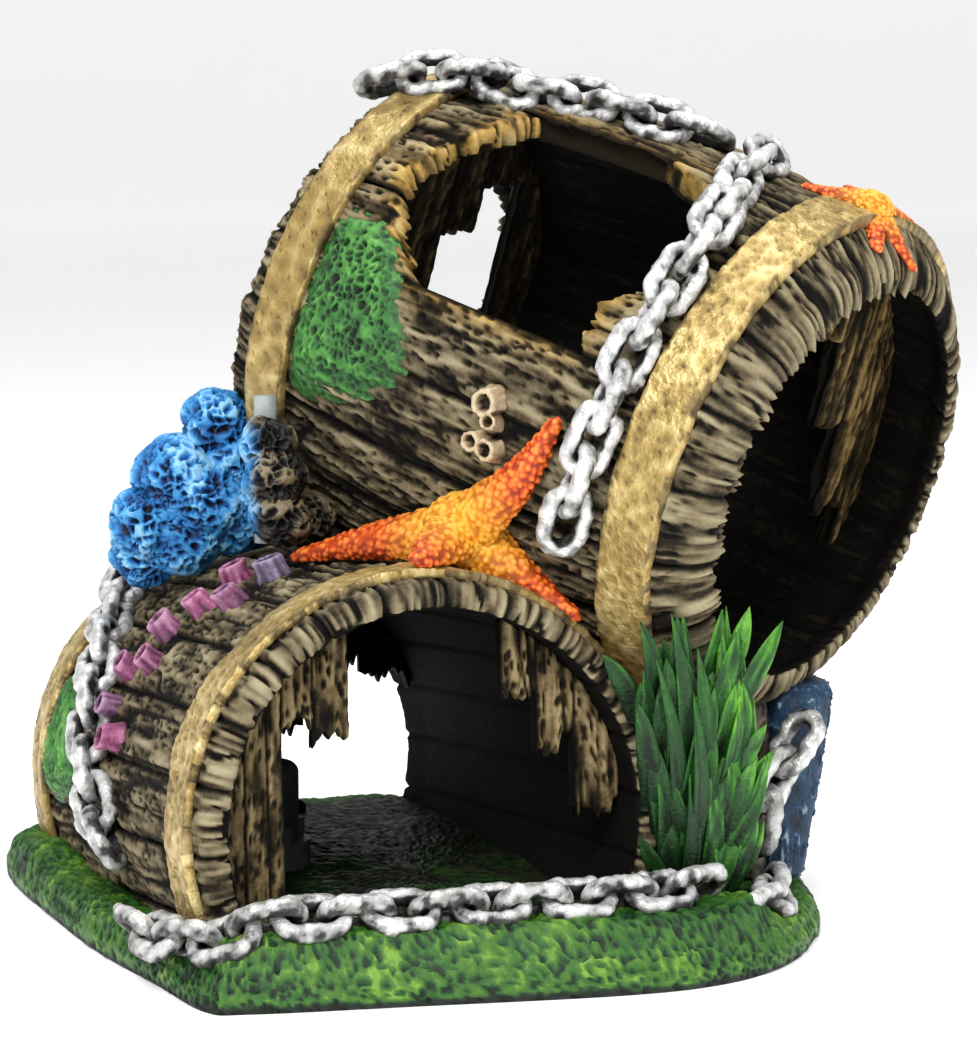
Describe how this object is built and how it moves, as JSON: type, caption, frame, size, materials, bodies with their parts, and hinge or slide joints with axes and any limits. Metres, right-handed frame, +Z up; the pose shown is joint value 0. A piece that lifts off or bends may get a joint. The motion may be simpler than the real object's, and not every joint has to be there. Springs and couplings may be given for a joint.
{
  "type": "bubbling aquarium ornament",
  "caption": "Painted resin aquarium ornament: a broken barrel lying across another on a moss base, with chains, starfish, corals and a lift-out air stone fed from behind.",
  "frame": {"origin": "middle of the ornament's bounding box at the resting surface under the moss base", "axes": "+Z up; -Y is the side that the low barrel's mouth faces; +X is the side with the rock, the grass and the high barrel's mouth"},
  "size_m": [0.163, 0.1564, 0.153],
  "materials": {
    "weathered_wood": "resin moulded as weathered staves, black wash with tan dry brushing",
    "gold_paint": "resin with hammered gold paint",
    "silver_paint": "resin with silver paint over a black wash",
    "moss_green": "resin moulded as moss, dark green with yellow-green dry brushing",
    "grass_green": "resin blades painted from dark to bright green",
    "starfish_orange": "beaded resin painted orange with a yellow centre",
    "blue_coral": "netted resin painted bright blue",
    "navy_sponge": "rough resin painted navy with pale dry brushing",
    "pink_tubeworm": "resin cups painted pink to lavender",
    "tan_barnacle": "resin cups painted tan",
    "dark_rock": "rough resin painted near black",
    "clear_tube": "clear flexible air tube",
    "grey_fitting": "moulded grey plastic",
    "air_stone": "bonded grit"
  },
  "bodies": {
    "ornament": {"air_inlet": "grey_fitting", "air_pipe": "grey_fitting", "barnacle_cups": "tan_barnacle", "blue_coral": "blue_coral", "blue_sponge": "navy_sponge", "clear_air_tube": "clear_tube", "diagonal_chain": "silver_paint", "front_chain": "silver_paint", "grass_clump": "grass_green", "large_starfish": "starfish_orange", "left_chain": "silver_paint", "lower_front_head": "weathered_wood", "lower_front_hoop": "gold_paint", "lower_moss_patch": "moss_green", "lower_rear_head": "weathered_wood", "lower_rear_hoop": "gold_paint", "lower_staves": "weathered_wood", "moss_bank": "moss_green", "moss_base": "moss_green", "right_chain": "silver_paint", "small_starfish": "starfish_orange", "stone_seat": "grey_fitting", "support_rock": "dark_rock", "top_chain": "silver_paint", "tubeworm_cups": "pink_tubeworm", "upper_front_head": "weathered_wood", "upper_front_hoop": "gold_paint", "upper_moss_patch": "moss_green", "upper_rear_head": "weathered_wood", "upper_rear_hoop": "gold_paint", "upper_staves": "weathered_wood"},
    "stone": {"air_stone": "air_stone"}
  },
  "joints": [
    {"name": "stone_lift", "type": "slide", "parent": "ornament", "child": "stone", "axis": [0, 0, 1], "range_m": [0, 0.012]}
  ]
}
